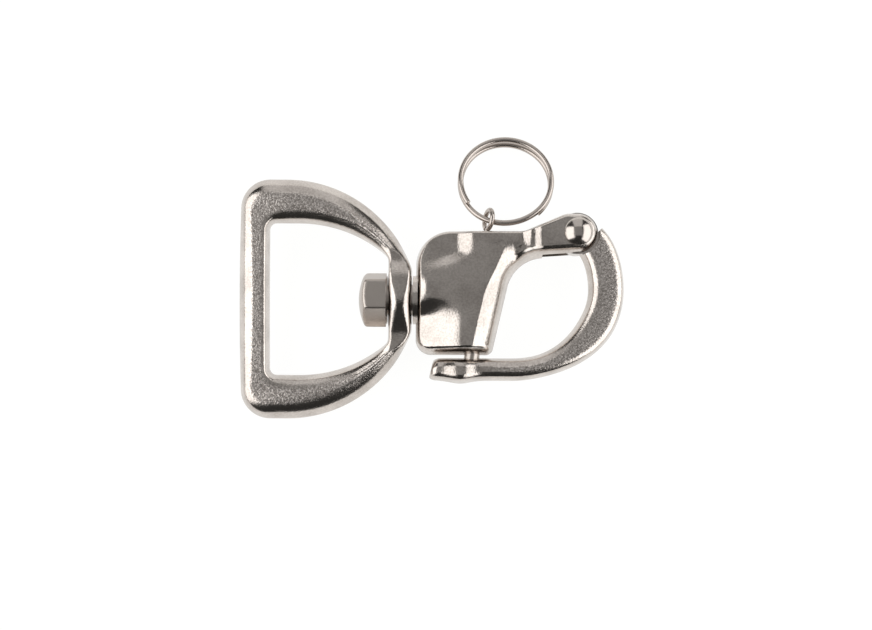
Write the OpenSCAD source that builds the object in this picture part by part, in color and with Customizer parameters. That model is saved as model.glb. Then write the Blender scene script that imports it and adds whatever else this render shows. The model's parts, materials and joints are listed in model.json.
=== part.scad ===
// Quick release snap shackle with a swivelling D bail for webbing.
// It lies flat and latched: X runs along it from the bail to the jaw, Y across it,
// and Z points up from the surface. The origin is under the middle of its outline.

/* [Bail] */
// Length of the D bail, from the ends of its bar to the swivel face of its crown
bail_l = 44.6; // [40:0.2:60]
// Width of the D bail across its two arms
bail_w = 62.4; // [56:0.2:80]
// Distance of the widest place of the arms from the ends of the bar
arm_top_run = 12.2; // [10:0.2:16]
// Depth of the bail casting
bail_d = 9; // [7:0.5:10]
// Outer corner radius of the D
bail_corner_r = 7.8; // [5:0.1:9]
// Width of the straight bar that the webbing goes round
bar_w = 7.7; // [5:0.1:10]
// How far the back of the bar bows outwards
bar_bow = 0.4; // [0:0.1:1.5]
// Height of the webbing slot
slot_h = 39; // [32:0.5:44]
// Corner radius of the webbing slot
slot_corner_r = 1.7; // [1:0.1:4]
// Length of the slot before its sides turn in towards the crown
slot_run = 7.6; // [6:0.2:12]
// Length of the crown along the swivel axis
crown_l = 6.3; // [5:0.1:9]
// Depth of the crown, which is a boss round its bore
crown_d = 15.2; // [13:0.2:18]
// Half width of the flat swivel face of the crown
crown_face = 7.5; // [6:0.1:9]
// How far the bail is rolled about the swivel axis as it rests
bail_roll = 6; // [-6:0.5:6]

/* [Swivel bolt] */
// Diameter of the bolt's shank
bolt_d = 8; // [6:0.1:9]
// Width across the flats of the bolt head
head_af = 12.6; // [11:0.1:14]
// Height of the hexagon of the head
head_h = 5.3; // [3:0.1:7]
// Height of the domed end of the head
dome_h = 1.8; // [1:0.1:3]
// Diameter of the round washer face under the head
washer_face_d = 12.4; // [10:0.1:12.6]
// Thickness of the washer face
washer_face_h = 0.3; // [0.3:0.1:1.2]
// Length of the bolt inside the body
bolt_hold = 10.5; // [8:0.5:12]
// Turn of the hexagon about the swivel axis
head_turn = 10; // [0:1:30]

/* [Body] */
// Gap between the crown and the body casting
swivel_gap = 0.95; // [0.6:0.05:2]
// Diameter of the neck that bears on the crown
neck_d = 12.6; // [10:0.2:14]
// Height of the plunger housing above the swivel axis
housing_up = 18; // [15:0.2:20]
// Depth of the housing below the swivel axis
housing_down = 14.2; // [12:0.2:16]
// Length of the lower edge of the housing
housing_foot = 19.6; // [17:0.2:22]
// Corner radius over the neck
shoulder_r = 9; // [5:0.5:12]
// Corner radius under the neck
heel_r = 4; // [2.8:0.1:6]
// Corner radius beside the latch
toe_r = 2; // [1:0.1:4]
// Half depth of the level ridge over the plunger
ridge_h = 7.2; // [6:0.1:7.6]
// Half depth over the swivel bolt, at the neck
neck_h = 7; // [6:0.1:7.5]
// Half depth at the left end, below the neck
heel_h = 3; // [3:0.1:5]
// Half depth at the left end, above the neck
shoulder_h = 5.5; // [4:0.1:6.5]
// Width of the chamfer that follows the flank
chamfer_w = 3.8; // [2:0.1:5]
// Fall of the chamfer for each millimetre of its width
chamfer_slope = 0.41; // [0.2:0.01:0.6]
// Distance of the step up to the ears from the crown
step_x = 28.4; // [26:0.2:31]
// Place of the inner corner under the ears, along the shackle
armpit_x = 26.3; // [24.5:0.1:27.5]
// Radius of the inner corner under the ears
armpit_r = 10; // [6:0.5:11]

/* [Hinge] */
// Distance of the hinge from the crown, along the shackle
hinge_x = 42.6; // [40:0.2:46]
// Height of the hinge above the swivel axis
hinge_y = 17.4; // [16:0.2:19]
// Radius of the two ears
ear_r = 5.6; // [4.8:0.05:6]
// Depth over both ears
ear_d = 11; // [9:0.2:12]
// Width of the slot between the ears
fork_w = 4.8; // [3:0.1:6]
// Diameter of the rivet
rivet_d = 4; // [3:0.1:5]
// Diameter of the domed heads of the rivet
rivet_head_d = 7.3; // [6:0.1:9]
// Height of the domed heads of the rivet
rivet_head_h = 2.2; // [1:0.1:3]
// Height of the upright edge of those heads
rivet_edge_h = 0.5; // [0.2:0.1:0.8]

/* [Jaw] */
// Greatest reach of the jaw from the crown
jaw_reach = 54.95; // [53:0.05:60]
// Width of the jaw at its widest
jaw_w = 9.5; // [7:0.1:10]
// Width of the jaw where it crosses under the latch
jaw_tip_w = 6.1; // [5:0.1:8]
// Depth of the jaw casting
jaw_d = 8.4; // [7:0.1:10]
// Slit between the housing and the jaw
jaw_gap = 0.6; // [0.4:0.1:1.5]
// Distance of the jaw's free end from the crown
jaw_end_x = 5; // [3:0.1:8]
// Height above the swivel axis where the jaw reaches furthest
jaw_belly_y = 3; // [0:0.1:5]
// Place where the jaw turns straight, along the shackle
jaw_straight_x = 25.6; // [22:0.1:29]
// Distance from the crown of the swelling round the latch hole
boss_x = 12.4; // [11:0.1:14]
// How far that swelling stands out below the jaw
boss_out = 0.8; // [0.2:0.1:1.5]
// How far it stands up from each face
boss_up = 1.4; // [0.2:0.1:2]

/* [Plunger] */
// Diameter of the plunger
plunger_d = 4; // [3:0.1:4.6]
// Diameter of the plunger's stem
stem_d = 2.4; // [2:0.1:2.6]
// Place where the plunger crosses the swivel axis
plunger_x = 17.2; // [16.5:0.1:18.5]
// Lean of the plunger off the square
plunger_lean = 6.7; // [5:0.1:8]
// Depth of the plunger in the jaw
latch_depth = 3.4; // [2:0.1:4]
// Length of the thick part of the plunger
plunger_l = 18; // [14:0.5:20]
// Wall of the housing over the spring
cap_wall = 3.2; // [2:0.1:5]
// Wire of the spring
spring_wire = 0.5; // [0.3:0.05:0.55]
// Turns of the spring
spring_turns = 8; // [6:1:12]

/* [Eye and ring] */
// Outer diameter of the pull eye
eye_d = 6.4; // [5.5:0.1:8]
// Wire of the pull eye
eye_wire = 1.3; // [1:0.05:1.6]
// Diameter of the shank that holds the eye in the plunger
eye_shank_d = 1.2; // [0.9:0.05:1.25]
// Turn of the eye about the plunger
eye_turn = 20; // [0:1:40]
// Outer diameter of the split ring
ring_d = 25.3; // [20:0.1:32]
// Wire of the split ring
ring_wire = 1.5; // [1:0.05:1.6]
// Dip of the ring from the eye down to the surface
ring_dip = 16.4; // [5:0.1:16.6]
// How far the two turns of the ring spring apart, at the far side
ring_spring = 1.0; // [0:0.1:2]

/* [Fits] */
// Running clearance of shafts in their bores, on the radius
run_fit = 0.05; // [0.01:0.01:0.1]
// Side clearance of the jaw in the fork and at the ears
side_play = 0.15; // [0.1:0.05:0.3]
// Clearance of the latch hole round the plunger, on the radius
latch_fit = 0.1; // [0.02:0.02:0.2]

/* [Hidden] */
$fn = 48;
over = 1;

// Bail: where its curves change, in the plane of the D
bar_x = -bail_l;
slot_x = bar_x + bar_w;
crown_x = -crown_l;
arm_top_x = bar_x + arm_top_run;
arm_end = [-1, crown_face + 3.1];
slot_top_x = slot_x + slot_run;
slot_end = [crown_x, crown_face + 3.4];
bar_to = [bar_x + 4, bar_x + 13];
crown_apex = 2;
crown_foot = 9.4;
crown_fall = 6.6;
crown_soft = 0.8;
crown_blend = 4;

// Outer and inner edges of the bail's section, on its arms, its bar and its crown: each
// is the run of the wall, then the run and the fall of the bevel
ARM_EDGES = [[1.8, 2.4, 1.4], [1, 1.9, 1.1]];
BAR_EDGES = [[1.75, 2.3, 1.05], [0.6, 0.7, 0.35]];
CROWN_EDGES = [[0.3, 1.6, 0.8], [0.3, 1.6, 0.8]];

// Plunger: its axis is a line through the housing, and s is the distance along it
// from the housing's lower edge
lean_u = [sin(plunger_lean), cos(plunger_lean)];
foot_p = [plunger_x - housing_down * tan(plunger_lean), -housing_down];
housing_top_s = (housing_up + housing_down) / cos(plunger_lean);
tip_s = -(jaw_gap + latch_depth);
shoulder_s = tip_s + plunger_l;
cap_s = housing_top_s - cap_wall;
eye_s = housing_top_s + eye_d / 2;
eye_hole_s = cap_s;
plunger_nose = 0.5;
spring_play = 0.05;
spring_gap = 0.15;
spring_sides = 5;
spring_steps = 12;
function on_plunger(s) = [foot_p[0] + s * lean_u[0], foot_p[1] + s * lean_u[1], 0];

// Body: corners of its outline, clockwise, each as x, y, radius and the share of the
// full wall and bevel that the side after it has
body_x = swivel_gap;
ear_end_x = hinge_x + ear_r;
ear_top_y = hinge_y + ear_r;
under_rise = 4;
step_r = 6;
ear_top_run = 2.8;
function under_ear(x) = hinge_y - ear_r / cos(under_rise) + (x - hinge_x) * tan(under_rise);
BODY_CORNERS = [
    [body_x, housing_up, shoulder_r, 0.42],
    [step_x, housing_up, step_r, 0.45],
    [hinge_x - ear_top_run, ear_top_y, step_r, 0.6],
    [ear_end_x, ear_top_y, ear_r, 0.65],
    [ear_end_x, under_ear(ear_end_x), ear_r, 0.85],
    [armpit_x, under_ear(armpit_x), armpit_r, 0.9],
    [body_x + housing_foot, -housing_down, toe_r, 0.7],
    [body_x, -housing_down, heel_r, 0.42]
];
body_mid = [plunger_x + 1.3, housing_up - 4.8];
body_wall = 1.2;
body_bevel = 1.8;
fork_root = 3.4;
fork_x = hinge_x - ear_r - fork_root;
tap_run = 0.5;

// Relief of the body: the spans of x or y over which each form changes
ridge_x = [12.6, 15.6];
ridge_turn = [-4, 12];
fall_run = [12.6, 4.2];
fall_turn = [6, 12.5];
fall_soft = [0.08, 0.35];
soft_turn = [3, 10];
neck_turn = [-5.5, 0.8];
neck_root = 0.5;
shoulder_turn = [2, 13];
nose_x = 3.6;
nose_y = 2.6;
nose_w = 3;
nose_slope = 0.45;
chamfer_in = 1.9;
chamfer_bend = 2.2;
chamfer_end_y = [9.5, 18];
chamfer_end_x = [26, 31];
step_facets = [[28.1, 30.4, 0.47], [31.2, 33.2, 0.34]];

// Jaw: its middle line is two quarter ellipses and a straight
jaw_y = -housing_down - jaw_gap - jaw_tip_w / 2;
jaw_far_x = jaw_reach - jaw_w / 2;
JAW_EDGES = [[0.9, 1.3, 0.75], [0.9, 1.6, 0.85]];
jaw_end_bevel = 1.8;
jaw_end_drop = 1.5;
jaw_end_slant = 13;
jaw_slant_run = 6;
boss_w = 3.6;
latch_floor = 0.6;
tongue_w = fork_w - 2 * side_play;
tongue_r = ear_r - 0.2;

// Ring: angles are measured in its own plane, and the wire crosses from the upper
// turn to the lower one between the two cut ends
ring_r = (ring_d - ring_wire) / 2;
eye_r = (eye_d - eye_wire) / 2;
end_a = 213;
end_b = -406;
crank_from = -46;
crank_to = -147;
eye_angle = -113;
ring_gap = 0.1;
ring_lift = 0.35;
ring_slack = 0.25;
ring_steps = 64;
ring_sides = 8;
ring_out = [0, cos(ring_dip), -sin(ring_dip)];
ring_n = [0, sin(ring_dip), cos(ring_dip)];
ring_eye = on_plunger(eye_s - ring_slack) + [0, 0, ring_lift];

// Even blend from 0 to 1 as x goes from a to b
function ease(a, b, x) = let (t = min(1, max(0, (x - a) / (b - a)))) t * t * (3 - 2 * t);
function mix(a, b, t) = a + (b - a) * t;
function unit(v) = v / norm(v);
function bell(x, w) = exp(-(x / w) * (x / w));
// The greater of a and b, eased within w of where they meet
function soft_max(a, b, w) = (a + b + sqrt((a - b) * (a - b) + w * w)) / 2;
// Rises with x over a span and is level before and after, eased within w
function soft_ramp(x, span, w) = soft_max(x - span[0], 0, w) - soft_max(x - span[1], 0, w);

// Solid skin over a list of closed rings with like counts of points. The ends are
// capped by fans, or the last ring joins the first.
module skin(rings, joined = false) {
    n = len(rings);
    m = len(rings[0]);
    spans = joined ? n : n - 1;
    side = [for (i = [0:spans - 1], j = [0:m - 1]) let (
        a = i * m + j, b = i * m + (j + 1) % m,
        c = ((i + 1) % n) * m + j, d = ((i + 1) % n) * m + (j + 1) % m)
        each [[a, c, b], [b, c, d]]];
    first = [for (j = [1:m - 2]) [0, j, j + 1]];
    last = [for (j = [1:m - 2]) let (k = (n - 1) * m) [k, k + j + 1, k + j]];
    polyhedron([for (r = rings) each r], joined ? side : concat(side, first, last));
}

// Section of a cast bar from its outer to its inner edge: a sloping wall up from the
// parting line, a bevel in two facets and a flat face, above and below. Each edge is the
// run of the wall, then the run and the fall of the bevel; a narrow bar has less of both.
function bar_edge(p, way, half_d, e, fit) = [for (k = [0:3]) let (
    back = fit * [0, e[0], e[0] + 0.45 * e[1], e[0] + e[1]][k],
    lift = [0, half_d - e[2], half_d - 0.4 * e[2], half_d][k])
    [p[0] + back * way[0], p[1] + back * way[1], lift]];
function bar_section(out, in, half_d, outer, inner) = let (
    span = norm(out - in),
    u = (out - in) / span,
    fit = min(1, 0.85 * span / (outer[0] + outer[1] + inner[0] + inner[1])),
    o = bar_edge(out, -u, half_d, outer, fit),
    n = bar_edge(in, u, half_d, inner, fit))
    concat(o, [for (k = [3:-1:0]) n[k]],
        [for (k = [1:3]) [n[k][0], n[k][1], -n[k][2]]],
        [for (k = [3:-1:1]) [o[k][0], o[k][1], -o[k][2]]]);

// Point of an arc that is level at p and runs on to q, at fraction t
function level_arc(p, q, t) = let (
    dx = q[0] - p[0], dy = p[1] - q[1],
    r = (dx * dx + dy * dy) / (2 * dy),
    a = t * 2 * atan2(dy, dx))
    [p[0] + r * sin(a), p[1] - r + r * cos(a)];
function arc_end_slope(p, q) = tan(2 * atan2(p[1] - q[1], q[0] - p[0]));
// Point of a curve from p to q that leaves towards k and arrives from it
function turn_in(p, k, q, t) = (1 - t) * (1 - t) * p + 2 * t * (1 - t) * k + t * t * q;

// Outer and inner edges of the upper half of the D, from the bar to the crown
half_w = bail_w / 2;
half_slot = slot_h / 2;
function bow(y) = bar_bow * (1 - pow(y / (half_w - bail_corner_r), 2));
crown_slope = arc_end_slope([arm_top_x, half_w], arm_end);
D_OUTER = concat(
    [for (t = [0:0.25:0.75]) let (y = t * (half_w - bail_corner_r)) [bar_x - bow(y), y]],
    [for (a = [180:-18:90]) [bar_x + bail_corner_r * (1 + cos(a)),
                             half_w - bail_corner_r * (1 - sin(a))]],
    [for (t = [0:0.1:0.95]) level_arc([arm_top_x, half_w], arm_end, t)],
    [for (t = [0:0.25:0.75]) turn_in(arm_end, [0, arm_end[1] + arm_end[0] * crown_slope],
                                     [0, crown_face], t)],
    [[0, crown_face], [0, crown_face / 2], [0, 0]]);
D_INNER = concat(
    [for (t = [0:0.25:0.75]) [slot_x, t * (half_slot - slot_corner_r)]],
    [for (a = [180:-18:90]) [slot_x + slot_corner_r * (1 + cos(a)),
                             half_slot - slot_corner_r * (1 - sin(a))]],
    [for (t = [0:0.1:0.95]) level_arc([slot_top_x, half_slot], slot_end, t)],
    [for (t = [0:0.25:0.75]) mix(slot_end, [crown_x, crown_face], t)],
    [[crown_x, crown_face], [crown_x, crown_face / 2], [crown_x, 0]]);
function crown_rise(y) =
    soft_ramp(crown_foot - abs(y - crown_apex), [0, crown_fall], crown_soft) / crown_fall;
function bail_half_d(p) = p[0] < crown_x - crown_blend ? bail_d / 2
    : mix(bail_d, crown_d, crown_rise(p[1])) / 2;
function crown_share(p) = p[0] < crown_x - crown_blend ? 0
    : 1 - ease(arm_end[1] - 0.5, arm_end[1] + 5, abs(p[1]));
function bail_edge(p, k) = mix(
    mix(BAR_EDGES[k], ARM_EDGES[k], ease(bar_to[0], bar_to[1], p[0])),
    CROWN_EDGES[k], crown_share(p));

// Rings of section right round the D, first up the upper half, then back up the lower
bail_n = len(D_OUTER);
BAIL_RINGS = [for (i = [0:2 * bail_n - 3]) let (
    k = i < bail_n ? i : 2 * bail_n - 2 - i,
    side = i < bail_n ? 1 : -1,
    o = [D_OUTER[k][0], side * D_OUTER[k][1]],
    n = [D_INNER[k][0], side * D_INNER[k][1]],
    p = (o + n) / 2)
    bar_section(o, n, bail_half_d(p), bail_edge(p, 0), bail_edge(p, 1))];

// Cast D ring: webbing is sewn round its bar, and the bolt turns in its crown
module d_bail() {
    color("gainsboro") placed() rotate([bail_roll, 0, 0]) difference() {
        skin(BAIL_RINGS, joined = true);
        translate([-crown_l - over, 0, 0]) rotate([0, 90, 0])
            cylinder(d = bolt_d + 2 * run_fit, h = crown_l + 2 * over);
    }
}

// Head of the bolt: a hexagon whose end is turned to a dome
head_x = crown_x - side_play;
module bolt_head() {
    corner_r = head_af / 2 / cos(30);
    dome_r = (corner_r * corner_r + dome_h * dome_h) / (2 * dome_h);
    rotate([0, -90, 0]) {
        cylinder(d = washer_face_d, h = washer_face_h);
        translate([0, 0, washer_face_h]) intersection() {
            rotate(head_turn - 30) cylinder(r = corner_r, h = head_h + dome_h, $fn = 6);
            translate([0, 0, head_h + dome_h - dome_r]) sphere(dome_r, $fn = 96);
        }
    }
}

// Bolt that the bail swivels on, screwed into the body
module swivel_bolt() {
    color("silver") placed() {
        translate([head_x, 0, 0]) bolt_head();
        translate([head_x, 0, 0]) rotate([0, 90, 0])
            cylinder(d = bolt_d, h = bolt_hold - head_x);
    }
}

// Closed outline through rounded corners, moved inwards by inset
function corner_in(c, i, inset) = let (
    n = len(c),
    p = [c[i][0], c[i][1]],
    a = unit(p - [c[(i + n - 1) % n][0], c[(i + n - 1) % n][1]]),
    b = unit([c[(i + 1) % n][0], c[(i + 1) % n][1]] - p),
    na = [a[1], -a[0]],
    nb = [b[1], -b[0]],
    bend = a[0] * b[1] - a[1] * b[0],
    r = bend < 0 ? max(c[i][2] - inset, 0.5) : c[i][2] + inset,
    turn = atan2(abs(bend), a * b),
    mid = p + inset * (na + nb) / (1 + na * nb))
    [mid - a * r * tan(turn / 2), a, bend < 0 ? na : -na, r, turn];
function rounded(c, inset, steps, rests) = [for (i = [0:len(c) - 1]) let (
    k = corner_in(c, i, inset),
    q = corner_in(c, (i + 1) % len(c), inset),
    hub = k[0] + k[2] * k[3],
    before = c[(i + len(c) - 1) % len(c)][3],
    arc = [for (t = [0:steps]) let (
        w = t * k[4] / steps,
        p = hub - k[2] * k[3] * cos(w) + k[1] * k[3] * sin(w))
        [p[0], p[1], mix(before, c[i][3], t / steps)]],
    end = [q[0][0], q[0][1], c[i][3]],
    meets = norm(end - arc[steps]) < 0.02)
    each concat([for (t = [0:meets ? steps - 1 : steps]) arc[t]],
        meets ? [] : [for (t = [1:rests]) mix(arc[steps], end, t / (rests + 1))])];
BODY_OUTLINE = rounded(BODY_CORNERS, 0, 5, 4);
// The outline moved in, on each side by that side's share of the inset
function body_line(inset) = let (moved = rounded(BODY_CORNERS, inset, 5, 4))
    [for (i = [0:len(moved) - 1]) let (p = BODY_OUTLINE[i])
        [mix(p[0], moved[i][0], p[2]), mix(p[1], moved[i][1], p[2])]];

// Half depth of the body. A level ridge covers the plunger. On its left the face falls
// to a low edge, or stays high over the bolt, whose swelling ends in a rounded nose. On
// its right a chamfer follows the flank, and two facets step down to the ears.
armpit_p = [armpit_x, under_ear(armpit_x)];
toe_p = [body_x + housing_foot, -housing_down];
flank = unit(armpit_p - toe_p);
function body_half_d(x, y) = let (
    run = mix(fall_run[0], fall_run[1], ease(fall_turn[0], fall_turn[1], y)),
    edge = mix(ridge_x[0], ridge_x[1], ease(ridge_turn[0], ridge_turn[1], y)),
    soft = mix(fall_soft[0], fall_soft[1], ease(soft_turn[0], soft_turn[1], y)),
    fall = soft_ramp((edge - x) / run, [0, 1], soft),
    left_h = mix(heel_h, neck_h, ease(neck_turn[0], neck_turn[1], y))
        - (neck_h - shoulder_h) * ease(shoulder_turn[0], shoulder_turn[1], y),
    beside = (toe_p[0] - x) * flank[1] - (toe_p[1] - y) * flank[0]
        + chamfer_bend * ease(0, 13, y),
    chamfer = chamfer_slope * soft_ramp(-beside, [-chamfer_in - chamfer_w, -chamfer_in], 0.2)
        * (1 - ease(chamfer_end_y[0], chamfer_end_y[1], y))
        * (1 - ease(chamfer_end_x[0], chamfer_end_x[1], x)),
    nose = nose_slope * soft_max(nose_x - x, 0, 0.8) * bell(y - nose_y, nose_w),
    step = step_facets[0][2] * soft_ramp(x, step_facets[0], 0.25)
        + step_facets[1][2] * soft_ramp(x, step_facets[1], 0.25))
    mix(ridge_h, left_h, fall) - chamfer - nose - step;

// Upper or lower face of the body: levels set in from the outline, then a fan to the
// middle, each with its share of the half depth
BODY_SETS = [[0, 0], [body_wall, 0.72], [body_wall + body_bevel * 0.45, 0.92],
             [body_wall + body_bevel, 1]];
function body_levels(side) = concat(
    [for (s = BODY_SETS) [for (p = body_line(s[0]))
        [p[0], p[1], side * s[1] * body_half_d(p[0], p[1])]]],
    [for (t = [0.12, 0.25, 0.38, 0.52, 0.68, 0.84]) [for (p = body_line(body_wall + body_bevel))
        let (q = mix(p, body_mid, t)) [q[0], q[1], side * body_half_d(q[0], q[1])]]]);

module body_casting() {
    top = body_levels(1);
    low = body_levels(-1);
    rings = concat([for (k = [len(top) - 1:-1:1]) top[k]], low);
    skin(rings);
}

// A cylinder on the plunger's axis, between two distances along it
module on_axis(d, from, to) {
    translate(on_plunger(from)) rotate([-90, 0, -plunger_lean]) cylinder(d = d, h = to - from);
}

// One casting: the neck, the plunger housing and the two ears of the hinge
module shackle_body() {
    color("lightgray") placed() difference() {
        union() {
            body_casting();
            translate([side_play, 0, 0]) rotate([0, 90, 0])
                cylinder(d = neck_d, h = body_x + neck_root - side_play);
        }
        translate([-over, 0, 0]) rotate([0, 90, 0])
            cylinder(d = bolt_d, h = bolt_hold + over + tap_run);
        on_axis(plunger_d + 2 * run_fit, -2 * over, cap_s);
        on_axis(stem_d + 2 * run_fit, cap_s - over, housing_top_s + 2 * over);
        translate([fork_x, hinge_y - 3 * ear_r, -fork_w / 2])
            cube([ear_end_x - fork_x + over, 6 * ear_r, fork_w]);
        translate([hinge_x, hinge_y, -ear_d]) cylinder(d = rivet_d, h = 2 * ear_d);
    }
}

// Stations along the jaw, each as its outer edge, inner edge and half depth: round the
// belly, along the straight, which swells round the latch hole, and over the slanted end
function jaw_station(x, y, dx, dy, w, d, out = 0) = let (n = unit([dy, -dx]))
    [[x, y] - n * (w / 2 + out), [x, y] + n * w / 2, d];
function jaw_round(a, cx, ry) = [cx + (jaw_far_x - cx) * cos(a), jaw_belly_y + ry * sin(a)];
function jaw_straight(x, a) = let (
    slant = jaw_end_slant * (1 - ease(jaw_end_x, jaw_end_x + jaw_slant_run, x)),
    boss = bell(x - boss_x, boss_w))
    jaw_station(x, jaw_y, -cos(slant), sin(slant), jaw_tip_w - jaw_end_bevel * (1 - cos(a)),
                jaw_d / 2 + boss * boss_up - jaw_end_drop * (1 - cos(a)), boss * boss_out);
JAW_STATIONS = concat(
    [for (a = [63:-9:8]) let (p = jaw_round(a, hinge_x, hinge_y - jaw_belly_y))
        jaw_station(p[0], p[1], (jaw_far_x - hinge_x) * sin(a),
                    -(hinge_y - jaw_belly_y) * cos(a), jaw_w, jaw_d / 2)],
    [for (t = [0:1 / 14:0.99]) let (a = -90 * t,
        p = jaw_round(a, jaw_straight_x, jaw_belly_y - jaw_y))
        jaw_station(p[0], p[1], (jaw_far_x - jaw_straight_x) * sin(a),
                    -(jaw_belly_y - jaw_y) * cos(a),
                    mix(jaw_w, jaw_tip_w, ease(0.25, 0.85, t)), jaw_d / 2)],
    [for (t = [0:0.1:1.01]) jaw_straight(mix(jaw_straight_x, jaw_end_x + jaw_end_bevel, t), 0)],
    [for (a = [30:30:90]) jaw_straight(jaw_end_x + jaw_end_bevel * (1 - sin(a)), a)]);
JAW_RINGS = [for (s = JAW_STATIONS) bar_section(s[0], s[1], s[2], JAW_EDGES[0], JAW_EDGES[1])];

// Curved gate: a tongue in the fork at one end, the latch hole at the other
module jaw() {
    color("silver") placed() difference() {
        union() {
            difference() {
                skin(JAW_RINGS);
                for (z = [tongue_w / 2, -tongue_w / 2 - jaw_d])
                    translate([hinge_x, hinge_y, z])
                        cylinder(r = ear_r + side_play, h = jaw_d);
            }
            translate([hinge_x, hinge_y, -tongue_w / 2]) cylinder(r = tongue_r, h = tongue_w);
        }
        translate([hinge_x, hinge_y, -jaw_d]) cylinder(d = rivet_d + 2 * run_fit, h = 2 * jaw_d);
        on_axis(plunger_d + 2 * latch_fit, tip_s - latch_floor, over);
    }
}

// Domed head of the rivet, standing on z = 0
module rivet_head() {
    rim_r = rivet_head_d / 2;
    cap = rivet_head_h - rivet_edge_h;
    dome_r = (rim_r * rim_r + cap * cap) / (2 * cap);
    intersection() {
        translate([0, 0, rivet_head_h - dome_r]) sphere(dome_r, $fn = 96);
        cylinder(r = rim_r, h = rivet_head_h);
    }
}

// Rivet through both ears and the tongue, headed over at each side
module hinge_rivet() {
    color("silver") placed() translate([hinge_x, hinge_y, 0]) {
        translate([0, 0, -ear_d / 2]) cylinder(d = rivet_d, h = ear_d);
        for (side = [0, 1]) mirror([0, 0, side]) translate([0, 0, ear_d / 2]) rivet_head();
    }
}

// Turned pin with a thinner stem, which has a threaded hole for the eye
module plunger() {
    r = plunger_d / 2;
    hole_r = eye_shank_d / 2;
    color("silver") placed() translate(on_plunger(0)) rotate([-90, 0, -plunger_lean])
        rotate_extrude() polygon([[0, tip_s], [r - plunger_nose, tip_s], [r, tip_s + plunger_nose],
            [r, shoulder_s], [stem_d / 2, shoulder_s], [stem_d / 2, housing_top_s],
            [hole_r, housing_top_s], [hole_r, eye_hole_s], [0, eye_hole_s]]);
}

// Wire eye with a shank that screws into the stem
module pull_eye() {
    color("gainsboro") placed() {
        on_axis(eye_shank_d, eye_hole_s + side_play, housing_top_s + eye_wire * 0.6);
        translate(on_plunger(eye_s)) rotate([0, 0, -plunger_lean]) rotate([0, 90 + eye_turn, 0])
            rotate_extrude() translate([eye_r, 0]) circle(d = eye_wire);
    }
}

// Round wire carried along points, each with its outward direction, on one axis n
function wire_ring(p, out, n, wire, sides) =
    [for (j = [0:sides - 1]) let (a = j * 360 / sides)
        p + wire / 2 * (cos(a) * out + sin(a) * n)];

// Compression spring round the stem, between the plunger's shoulder and the cap wall
spring_r = (plunger_d - spring_wire) / 2 - spring_gap;
spring_from = shoulder_s + spring_wire / 2 + spring_play;
spring_to = cap_s - spring_wire / 2 - spring_play;
module plunger_spring() {
    steps = spring_turns * spring_steps;
    color("darkgray") placed() translate(on_plunger(0)) rotate([-90, 0, -plunger_lean])
        skin([for (i = [0:steps]) let (a = i * 360 / spring_steps, out = [cos(a), sin(a), 0])
            wire_ring(out * spring_r + [0, 0, mix(spring_from, spring_to, i / steps)], out,
                      [0, 0, -1], spring_wire, spring_sides)]);
}

// Split ring: level of the wire above the middle plane at each angle, and its path
function ring_level(a) = let (
    apart = ring_wire / 2 + ring_gap / 2 + ring_spring / 4 * (1 + sin(a)))
    apart * (1 - 2 * ease(crank_from, crank_to, a));
function ring_rel(a) = ring_r * (cos(a) * [1, 0, 0] + sin(a) * ring_out) + ring_level(a) * ring_n;
function ring_at(a) = ring_eye - ring_rel(eye_angle) + ring_rel(a);
RING_RINGS = [for (i = [0:ring_steps]) let (
    a = mix(end_a, end_b, i / ring_steps),
    out = cos(a) * [1, 0, 0] + sin(a) * ring_out)
    wire_ring(ring_at(a), out, ring_n, ring_wire, ring_sides)];

// Sprung wire of nearly two turns, threaded through the eye
module split_ring() {
    color("gainsboro") placed() skin(RING_RINGS);
}

// Outer limits of the whole, which place its origin
ring_max_y = max([for (r = RING_RINGS) each [for (p = r) p[1]]]);
bail_min_y = -bail_w / 2 * cos(bail_roll);
rest_z = max(ear_d / 2 + rivet_head_h, crown_d / 2, ridge_h);
mid_x = (bar_x - bar_bow + jaw_reach) / 2;
mid_y = (ring_max_y + bail_min_y) / 2;
module placed() translate([-mid_x, -mid_y, rest_z]) children();

d_bail();
swivel_bolt();
shackle_body();
jaw();
hinge_rivet();
plunger();
pull_eye();
plunger_spring();
split_ring();
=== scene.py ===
import json
import math

import bpy
import numpy as np
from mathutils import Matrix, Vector


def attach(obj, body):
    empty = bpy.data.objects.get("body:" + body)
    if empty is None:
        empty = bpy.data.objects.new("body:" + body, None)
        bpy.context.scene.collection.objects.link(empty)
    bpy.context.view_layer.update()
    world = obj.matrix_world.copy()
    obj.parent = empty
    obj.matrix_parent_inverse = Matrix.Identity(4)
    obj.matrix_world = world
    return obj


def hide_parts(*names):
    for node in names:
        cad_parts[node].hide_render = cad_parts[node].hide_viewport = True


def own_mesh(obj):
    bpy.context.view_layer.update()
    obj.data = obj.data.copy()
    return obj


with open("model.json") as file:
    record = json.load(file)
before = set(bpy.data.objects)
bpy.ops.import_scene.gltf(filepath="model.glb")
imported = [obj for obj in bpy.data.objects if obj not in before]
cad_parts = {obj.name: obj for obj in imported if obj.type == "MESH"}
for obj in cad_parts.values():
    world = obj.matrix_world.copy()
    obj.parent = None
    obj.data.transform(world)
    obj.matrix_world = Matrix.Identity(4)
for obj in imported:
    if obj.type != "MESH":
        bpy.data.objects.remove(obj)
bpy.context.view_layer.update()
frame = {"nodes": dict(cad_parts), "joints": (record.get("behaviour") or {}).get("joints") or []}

scene = bpy.context.scene
MM = 0.001


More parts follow.
